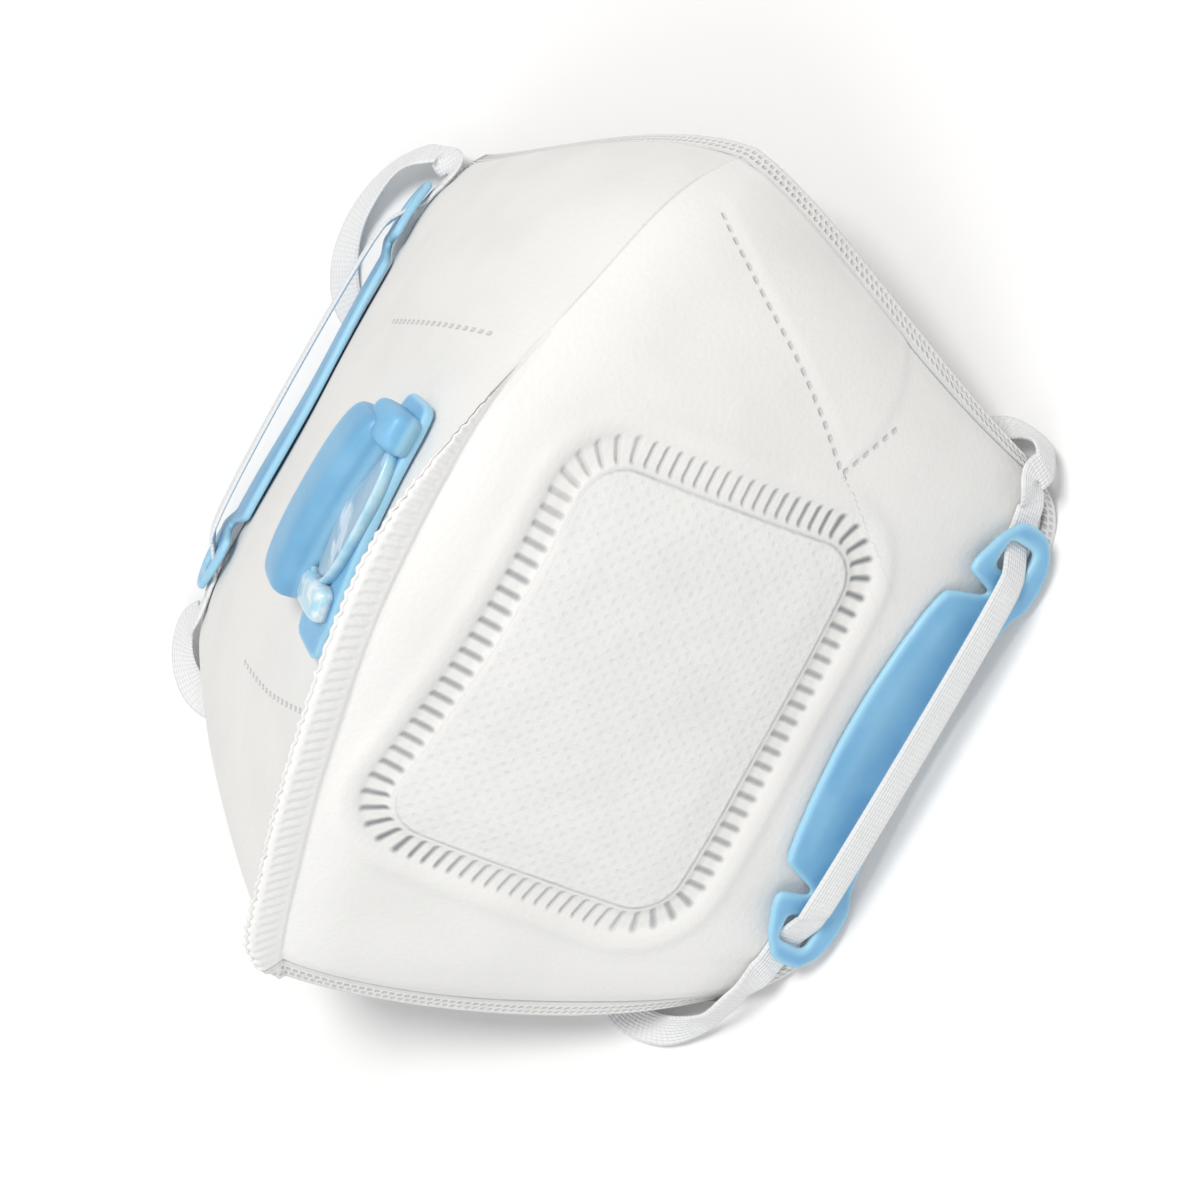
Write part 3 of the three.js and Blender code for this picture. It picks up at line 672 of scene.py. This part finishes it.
# A flat plate with rounded edges, its mesh fine enough to bend.
def flatPlate(outline, holes, thick, bevel, voxel):
    curve = bpy.data.curves.new("flat", "CURVE")
    curve.dimensions, curve.fill_mode = "2D", "BOTH"
    curve.extrude, curve.bevel_depth, curve.bevel_resolution = thick / 2 - bevel, bevel, 2
    curve.offset = -bevel
    for line in [outline] + holes:
        spline = curve.splines.new("POLY")
        spline.points.add(len(line) - 1)
        spline.points.foreach_set("co", np.c_[line, np.zeros(len(line)), np.ones(len(line))].ravel())
        spline.use_cyclic_u = True
    holder = bpy.data.objects.new("flat", curve)
    bpy.context.scene.collection.objects.link(holder)
    solid = bpy.data.meshes.new_from_object(holder.evaluated_get(bpy.context.evaluated_depsgraph_get()))
    plate = bpy.data.objects.new("plate", solid)
    bpy.context.scene.collection.objects.link(plate)
    weld = plate.modifiers.new("weld", "WELD")
    weld.merge_threshold = 0.01
    even = plate.modifiers.new("even", "REMESH")
    even.mode, even.voxel_size = "VOXEL", voxel
    calm = plate.modifiers.new("calm", "SMOOTH")
    calm.iterations, calm.factor = 4, 0.5
    done = bpy.data.meshes.new_from_object(plate.evaluated_get(bpy.context.evaluated_depsgraph_get()))
    points = np.array([v.co for v in done.vertices])
    quads = [tuple(f.vertices) for f in done.polygons]
    bpy.data.objects.remove(holder)
    bpy.data.objects.remove(plate)
    return points, quads


def onCheek(along, inwards, height):
    u = np.asarray(inwards, float) / shape["ribLength"]
    low, high = np.zeros_like(u), np.ones_like(u)
    for _ in range(26):
        middle = (low + high) / 2
        short = skin(u, middle)[..., 1] < along + shape["slide"]
        low, high = np.where(short, middle, low), np.where(short, high, middle)
    face = skinNormal(u, low)
    return skin(u, low) + face * np.asarray(height)[..., None], face


# Clips at the cheeks: a blade and two slotted heads
clip = {
    "thick": 1.4, "lift": 0.7, "headLift": 1.75, "ramp": (25.9, 29.6),
    "bevel": 0.45, "voxel": 0.36, "crown": 0.35,
    "slotAlong": (33.2, 38.2), "slotInwards": (6.5, 13.9),
}
clipHalf = [  # along the cheek, near edge, far edge
    (9, 1.8, 18.7), (18, 1.8, 18.3), (24.6, 1.7, 17.7), (26.3, 1.6, 16.6), (28.2, 1.5, 11.2),
    (29.2, 1.5, 11.4), (30.4, 1.5, 16.4), (31.6, 1.5, 17.5), (33.4, 1.6, 17.6), (36, 2.0, 16.8),
    (38.2, 2.7, 15.8), (40.1, 4.3, 13.9), (41.4, 6.6, 11.8),
]


def clipOutline():
    far = [(-a, f) for a, n, f in clipHalf[::-1]] + [(0, 18.8)] + [(a, f) for a, n, f in clipHalf]
    near = [(a, n) for a, n, f in clipHalf[::-1]] + [(0, 1.8)] + [(-a, n) for a, n, f in clipHalf]
    return roundedLine(far + near, 5)


def slotLine(sign):  # the slot that the strap passes through, round at its corners
    along, inwards = np.array(clip["slotAlong"]), np.array(clip["slotInwards"])
    middle = np.array([sign * along.mean(), inwards.mean()])
    turn = np.linspace(0, 2 * math.pi, 40, endpoint=False)
    half = np.array([np.diff(along)[0] / 2, np.diff(inwards)[0] / 2])
    circle = np.c_[np.cos(turn), np.sin(turn)]
    return middle + half * np.sign(circle) * np.abs(circle)**0.45


def addClips():
    outline = clipOutline()
    slots = [slotLine(1), slotLine(-1)]
    flat, quads = flatPlate(outline, slots, clip["thick"], clip["bevel"], clip["voxel"])
    rim = np.min([outlineDistance(flat[:, :2], line) for line in [outline] + slots], 0)
    along, inwards = flat[:, 0], flat[:, 1]
    lift = clip["lift"] + (clip["headLift"] - clip["lift"]) * smooth(np.abs(along), *clip["ramp"])
    height = lift + flat[:, 2] + clip["thick"] / 2 + clip["crown"] * smooth(rim, 0, 5) * (flat[:, 2] > 0)
    points, _ = onCheek(along, inwards, height)
    # where the painted highlight runs, along the blade's middle
    centre = np.exp(-((inwards - 13.5) / 3.0)**2) * (1 - smooth(np.abs(along), 18, 26))
    maps = {"rim": (np.stack([rim, centre], -1), 0)}
    finish = bluePlastic("clip plastic")
    for side in ("left", "right"):
        left = side == "left"
        faces = [q[::-1] for q in quads] if left else quads
        piece = meshPiece(f"cheek_clip_{side}", points if left else flipX(points), faces, maps, finish)
        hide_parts(f"side_clip_{side}")


addClips()
print("clips made")


# Exhalation valve on the wearer's right panel
valve = {"rib": 0.775, "height": 0.515, "lift": 0.35, "plate": 1.8, "slant": 0.28, "shell": 1.2}
valveStep = 0.01  # share of the panel over which its size at the valve is measured
valveScale = [
    np.linalg.norm(skin(valve["rib"] + a, valve["height"] + b) - skin(valve["rib"] - a, valve["height"] - b))
    / (2 * valveStep) for a, b in ((valveStep, 0), (0, valveStep))
]


def onValve(towardRidge, along, height):
    u = valve["rib"] + np.asarray(towardRidge, float) / valveScale[0]
    v = valve["height"] + np.asarray(along, float) / valveScale[1]
    return flipX(skin(u, v) + skinNormal(u, v) * np.asarray(height, float)[..., None])


def signedPower(x, power):
    return np.sign(x) * np.abs(x)**power


def roundedBox(halfA, halfE, power, middle=(0, 0), count=72):
    turn = np.linspace(0, 2 * math.pi, count, endpoint=False)
    across, along = halfA * signedPower(np.cos(turn), power), halfE * signedPower(np.sin(turn), power)
    return np.c_[middle[0] + across, middle[1] + along]


def standingWall(loop, low, high, half):  # a low wall with a rounded top, standing on the panel along a loop
    ahead = np.roll(loop, -1, 0) - np.roll(loop, 1, 0)
    side = unit(np.c_[ahead[:, 1], -ahead[:, 0]])
    section = np.array([(-half, low), (-half, high - half), (-half * 0.7, high - half * 0.3), (0, high),
                        (half * 0.7, high - half * 0.3), (half, high - half), (half, low)])
    flat = loop[:, None] + side[:, None] * section[None, :, :1]
    points = onValve(flat[..., 0], flat[..., 1], np.broadcast_to(section[None, :, 1], flat.shape[:2]))
    n, k = flat.shape[:2]
    quads = []
    for a in range(n):
        for b in range(k):
            quads.append((a * k + b, a * k + (b + 1) % k, (a + 1) % n * k + (b + 1) % k, (a + 1) % n * k + b))
    return points.reshape(-1, 3), quads


# The outer and inner face of a rounded, hollow loaf that stands on the seat.
def domeGrids(middle, half, rise, slant=0.0, blunt=(0.62, 0.42, 0.36)):
    seatTop = valve["lift"] + valve["plate"]
    phi = np.linspace(math.pi, 0, 49)[None]
    psi = np.linspace(-math.pi / 2, math.pi / 2, 71)[:, None]
    full = np.abs(np.cos(psi))**blunt[2]
    grids = []
    for shrink in (0, min(valve["shell"], 0.4 * min(half), 0.4 * rise)):
        e = (half[1] - shrink) * signedPower(np.sin(psi), blunt[0]) + 0 * phi
        a = (half[0] - shrink) * signedPower(np.cos(phi), blunt[0]) * (0.3 + 0.7 * full)
        h = seatTop + 0.05 + (rise - shrink) * np.abs(np.sin(phi))**blunt[1] * full
        grids.append(onValve(middle[0] + a + slant * e, middle[1] + e, h))
    return grids


def addDome(name, finish, *place, **shaping):
    outer, inner = domeGrids(*place, **shaping)
    edge = np.minimum(np.arange(outer.shape[1]), np.arange(outer.shape[1])[::-1])[None] * 0.35
    tip = np.minimum(np.arange(outer.shape[0]), np.arange(outer.shape[0])[::-1])[:, None] * 0.35
    rim = np.minimum(edge, tip + 0.8)
    quads = shellQuads(*outer.shape[:2], False)
    piece = meshPiece(name, both(outer, inner), quads, {"rim": pairMap(rim, 0 * rim)}, finish)
    return piece


frameOutline = [  # across towards the ridge, and along the mask
    (-15, -17.5), (1, -18), (1.5, -21), (3, -21.8), (11, -21.8), (12.5, -21), (13, -18), (14, -16), (14, 15),
    (13.6, 18), (13, 19.6), (11.6, 20.4), (5.4, 20.4), (4, 19.6), (3, 16.5), (-3, 14), (-9, 10.5), (-15, 5),
]
frameOpenings = [  # half sizes and middle
    ((9.6, 3.2), (-0.5, -8.6)), ((9.6, 2.9), (-0.5, 0)), ((6.4, 2.6), (3.2, 8.4)),
]
rimLoop = {"middle": (7.4, 0.6), "half": (6.0, 12.2), "filmHalf": (5.2, 11.4), "power": 0.85, "slant": 0.12}


def addValve():
    seatTop = valve["lift"] + valve["plate"]
    corners = np.array(frameOutline, float)
    sides = zip(corners, np.roll(corners, -1, 0))
    outline = np.concatenate([np.linspace(a, b, 6, endpoint=False) for a, b in sides])
    openings = [roundedBox(*half, 0.35, middle) for half, middle in frameOpenings]
    flat, quads = flatPlate(outline, openings, valve["plate"], 0.4, 0.36)
    rim = outlineDistance(flat[:, :2], outline)
    points = onValve(flat[:, 0], flat[:, 1], flat[:, 2] + valve["lift"] + valve["plate"] / 2)
    finish = bluePlastic("valve plastic", paintedEdgeLight=0.7)
    piece = meshPiece("valve_frame", points, quads, {"rim": (np.stack([rim, 0 * rim], -1), 0)}, finish)
    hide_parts("valve_seat")

    # the rim that the membrane lies against, on the hood's ridge side
    around = np.linspace(0, 2 * math.pi, 120, endpoint=False)
    (middleA, middleE), power = rimLoop["middle"], rimLoop["power"]
    loop = np.c_[middleA + rimLoop["half"][0] * signedPower(np.cos(around), power),
                 middleE + rimLoop["half"][1] * signedPower(np.sin(around), power)]
    loop[:, 0] += rimLoop["slant"] * loop[:, 1]
    points, quads = standingWall(loop, seatTop + 0.05, seatTop + 1.9, 0.4)
    pale = Shader("rim plastic", roughness=0.3, Coat_Weight=0.3, Subsurface_Weight=0.3,
                  Subsurface_Radius=(0.001, 0.002, 0.003), Subsurface_Scale=1.0)
    pale.colour(pale.mix((0.36, 0.63, 0.83), (0.58, 0.78, 0.90), pale.noise(4, 2.0).smooth(0.35, 0.7)))
    pale.relief(pale.noise(1.5, 2.0) * 0.03)
    piece = meshPiece("valve_rim", points, quads, None, pale.material)

    # the membrane, slightly domed, with its free edge curled up
    t, r = np.meshgrid(np.linspace(0, 2 * math.pi, 97)[:-1], np.linspace(0.02, 1, 18))
    e = middleE + rimLoop["filmHalf"][1] * r * signedPower(np.sin(t), power)
    a = middleA + rimLoop["filmHalf"][0] * r * signedPower(np.cos(t), power) + rimLoop["slant"] * e
    wave = 0.3 * np.sin(e * 0.42 + 0.8) + 0.25 * np.sin(a * 1.3)
    high = seatTop + 1.0 + 0.8 * (1 - r**2) + wave * (0.3 + 0.4 * r)
    top, under = onValve(a, e, high), onValve(a, e, high - 0.5)
    rings, turns = top.shape[:2]
    number = np.arange(2 * rings * turns).reshape(2, rings, turns)
    nextTurn = np.roll(np.arange(turns), -1)
    (upper, lower), quads = number, []
    for i in range(rings - 1):
        for k, n in enumerate(nextTurn):
            quads.append((upper[i][k], upper[i + 1][k], upper[i + 1][n], upper[i][n]))
            quads.append((lower[i][k], lower[i][n], lower[i + 1][n], lower[i + 1][k]))
    for k, n in enumerate(nextTurn):
        quads.append((upper[-1][k], lower[-1][k], lower[-1][n], upper[-1][n]))
        quads.append((upper[0][k], upper[0][n], lower[0][n], lower[0][k]))
    film = Shader("membrane film", roughness=0.25, Coat_Weight=0.5, Coat_Roughness=0.12)
    # Painted highlight: pale streaks of reflected light on the membrane.
    paintedGlint = film.noise(3.0, 3.0, stretch=(1, 0.3, 1)).smooth(0.48, 0.62)
    film.colour(film.mix((0.36, 0.50, 0.62), (0.68, 0.77, 0.84), paintedGlint))
    film.relief(film.noise(2.5, 2.0, stretch=(1, 0.4, 1)) * 0.25)
    piece = meshPiece("valve_membrane", both(top, under), quads, None, film.material)
    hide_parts("valve_flap")

    hoodFinish = bluePlastic("hood plastic", paintedEdgeLight=0.8, tone=0.9)
    hood = addDome("valve_hood", hoodFinish, (0.9, -1.0), (5.7, 16.2), 6.6, slant=valve["slant"],
                   blunt=(0.5, 0.42, 0.2))
    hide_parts("valve_cover")
    addDome("valve_block_upper", finish, (9.4, 14.6), (5.2, 3.2), 4.8, blunt=(0.5, 0.4, 0.4))
    milky = Shader("milky plastic", roughness=0.25, Coat_Weight=0.5, Subsurface_Weight=0.4,
                   Subsurface_Radius=(0.002, 0.003, 0.004), Subsurface_Scale=1.0)
    milky.colour(milky.mix((0.44, 0.69, 0.85), (0.80, 0.88, 0.93), milky.noise(3, 2.0).smooth(0.4, 0.62)))
    addDome("valve_block_lower", milky.material, (7.4, -13.6), (5.2, 2.5), 2.8, blunt=(0.5, 0.4, 0.4))


addValve()
print("valve made")


# Elastic strap: one closed loop, threaded through both clips
strap = {"wide": 6.0, "thick": 0.9, "inwards": 10.2, "steps": 900}
threading = [(30.2, 5), (33.1, 4.1), (35.7, 2.45), (38.3, 0.95), (40.6, 0.85), (42.8, 0.85), (45, 1.25)]
crownStretch = [  # a point, and the way that the flat side faces
    ((59.9, 48.8, 11.3), (0.75, 0.55, 0.37)),
    ((60, 51.8, 9.3), (0.6, 0.8, 0.1)),
    ((57.7, 54.5, 7.3), (0.2, 0.97, 0.1)),
    ((53.4, 54.9, 4.6), (-0.1, 0.8, 0.5)),
    ((48.3, 53.4, 2.3), (-0.05, 0.4, 0.91)),
    ((43.4, 46.6, 0.65), (0, 0, 1)),
    ((41, 34.6, 0.65), (0, 0, 1)),
    ((43, 22.6, 0.65), (0, 0, 1)),
    ((38, 9.6, 0.65), (0, 0, 1)),
    ((25, 3.6, 0.65), (0, 0, 1)),
    ((12, 8.6, 0.65), (0, 0, 1)),
    ((3, 19.6, 0.65), (0, 0, 1)),
    ((-9, 28.6, 0.65), (0, 0, 1)),
    ((-24, 29.6, 0.65), (0, 0, 1)),
    ((-37, 21.6, 0.65), (0, 0, 1)),
    ((-49, 14.6, 0.65), (0, 0, 1)),
    ((-60, 13.2, 0.65), (0, 0, 1)),
    ((-69, 15.2, 0.7), (0, 0, 1)),
    ((-74, 21, 1.1), (-0.2, 0, 0.98)),
    ((-76, 28.6, 2.2), (-0.45, 0.1, 0.89)),
    ((-75, 36.6, 3.9), (-0.5, 0.35, 0.79)),
    ((-72, 42.6, 6), (-0.35, 0.6, 0.7)),
    ((-67.4, 46.4, 8), (-0.4, 0.55, 0.72)),
    ((-64.4, 47.5, 7.7), (-0.6, 0.55, 0.58)),
]
neckStretch = [
    ((-63.6, -49.4, 5.6), (-0.5, -0.3, 0.81)),
    ((-62.9, -53.8, 3.6), (-0.3, -0.35, 0.89)),
    ((-60.4, -57.4, 2.1), (-0.1, -0.3, 0.95)),
    ((-56.4, -59.6, 1.1), (0, -0.1, 0.99)),
    ((-50, -58.8, 0.65), (0, 0, 1)),
    ((-44, -52.4, 0.65), (0, 0, 1)),
    ((-39, -43.4, 0.65), (0, 0, 1)),
    ((-30, -37.4, 0.65), (0, 0, 1)),
    ((-20, -40.4, 0.65), (0, 0, 1)),
    ((-10, -48.4, 0.65), (0, 0, 1)),
    ((2, -47.4, 0.65), (0, 0, 1)),
    ((10, -36.4, 0.65), (0, 0, 1)),
    ((20, -27.4, 0.65), (0, 0, 1)),
    ((33, -27.4, 0.65), (0, 0, 1)),
    ((39, -37.4, 0.65), (0, 0, 1)),
    ((36, -48.4, 0.65), (0, 0, 1)),
    ((36, -58.4, 0.65), (0, 0, 1)),
    ((42, -64.8, 0.7), (0, 0, 1)),
    ((49.4, -64, 2), (0.05, -0.25, 0.97)),
    ((55, -60, 4.6), (0.4, -0.75, 0.53)),
    ((58.5, -55.4, 6.8), (0.72, -0.68, 0.15)),
    ((60.5, -50.2, 9), (0.79, -0.58, 0.2)),
]


def closedCurve(points, steps):  # centripetal, the same curve as the solid strap follows
    p = np.array(points, float)
    n = len(p)
    at = np.arange(steps) / steps * n
    i = at.astype(int) % n
    w = (at - np.floor(at))[:, None]
    p0, p1, p2, p3 = p[(i - 1) % n], p[i], p[(i + 1) % n], p[(i + 2) % n]
    d0, d1, d2 = (np.maximum(np.linalg.norm(b - a, axis=1, keepdims=True)**0.5, 1e-4)
                  for a, b in ((p0, p1), (p1, p2), (p2, p3)))
    t1 = ((p1 - p0) / d0 - (p2 - p0) / (d0 + d1) + (p2 - p1) / d1) * d1
    t2 = ((p2 - p1) / d1 - (p3 - p1) / (d1 + d2) + (p3 - p2) / d2) * d1
    return p1 + t1 * w + (-3 * p1 + 3 * p2 - 2 * t1 - t2) * w**2 + (2 * p1 - 2 * p2 + t1 + t2) * w**3


def threaded(side, end):
    along, height = (np.array([row[k] for row in threading], float) for k in (0, 1))
    at, face = onCheek(end * along, np.full(len(along), strap["inwards"]), height)
    turn = np.array([side, 1, 1])
    return [(tuple(a), tuple(f)) for a, f in zip(at * turn, face * turn)]


def laid(rows):
    return [((x, y + shape["slide"], z), face) for (x, y, z), face in rows]


def elasticBand():
    s = Shader("knitted elastic", roughness=0.8, Sheen_Weight=0.25, Sheen_Roughness=0.5)
    way, over = s.map("weave")
    rib = (over.stripe(0.62, 0.5, 0.2)) * 0.1
    pick = way.stripe(0.9, 0.5, 0.22) * 0.07
    fuzz = s.noise(0.45, 3.0) * 0.05
    edge = abs(over).smooth(2.1, 2.9)
    colour = s.mix((0.88, 0.885, 0.89), (0.72, 0.735, 0.75), way.stripe(0.9, 0.4, 0.2) * 0.3 + edge * 0.2)
    s.colour(s.mix(colour, (0.76, 0.77, 0.78), s.noise(6, 2.0).smooth(0.4, 0.8) * 0.3))
    s.relief(rib + pick + fuzz)
    return s.material


def addStrap():
    rows = (threaded(1, 1) + laid(crownStretch) + threaded(-1, 1)[::-1] + threaded(-1, -1) + laid(neckStretch)
            + threaded(1, -1)[::-1])
    centre = closedCurve([r[0] for r in rows], strap["steps"])
    face = closedCurve([r[1] for r in rows], strap["steps"])
    ahead = unit(np.roll(centre, -1, 0) - np.roll(centre, 1, 0))
    up = unit(face - (face * ahead).sum(1, keepdims=True) * ahead)
    side = np.cross(up, ahead)
    flat, full = strap["wide"] / 2, strap["thick"] / 2
    turn = np.linspace(0, 2 * math.pi, 20, endpoint=False)
    x, y = flat * signedPower(np.cos(turn), 0.55), full * signedPower(np.sin(turn), 0.5)
    n, k = len(centre), len(turn)
    points = centre[:, None] + side[:, None] * x[None, :, None] + up[:, None] * y[None, :, None]
    i, j = np.meshgrid(np.arange(n), np.arange(k), indexing="ij")
    a, b, c, d = i * k + j, i * k + (j + 1) % k, (i + 1) % n * k + (j + 1) % k, (i + 1) % n * k + j
    quads = np.stack([a, d, c, b], -1).reshape(-1, 4)
    way = np.concatenate([[0], np.cumsum(np.linalg.norm(np.diff(centre, axis=0), axis=1))])
    around = way[-1] + np.linalg.norm(centre[0] - centre[-1])
    pairs = np.stack([np.repeat(way[:, None], k, 1), np.repeat(x[None], n, 0)], -1).reshape(-1, 2)
    maps = {"weave": (pairs, around)}
    piece = meshPiece("elastic_strap", points.reshape(-1, 3), quads, maps, elasticBand())
    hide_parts("head_strap")
    print("strap made,", round(around), "mm round")


addStrap()


# What it rests on
def addFloor():
    mesh = bpy.data.meshes.new("floor")
    mesh.from_pydata([(-3, -3, 0), (3, -3, 0), (3, 3, 0), (-3, 3, 0)], [], [(0, 1, 2, 3)])
    floor = bpy.data.objects.new("floor", mesh)
    bpy.context.scene.collection.objects.link(floor)
    paper = Shader("floor", roughness=0.9, Specular_IOR_Level=0.1)
    paper.surface.inputs["Base Color"].default_value = (0.93, 0.93, 0.93, 1)
    mesh.materials.append(paper.material)


addFloor()
print("scene ready")
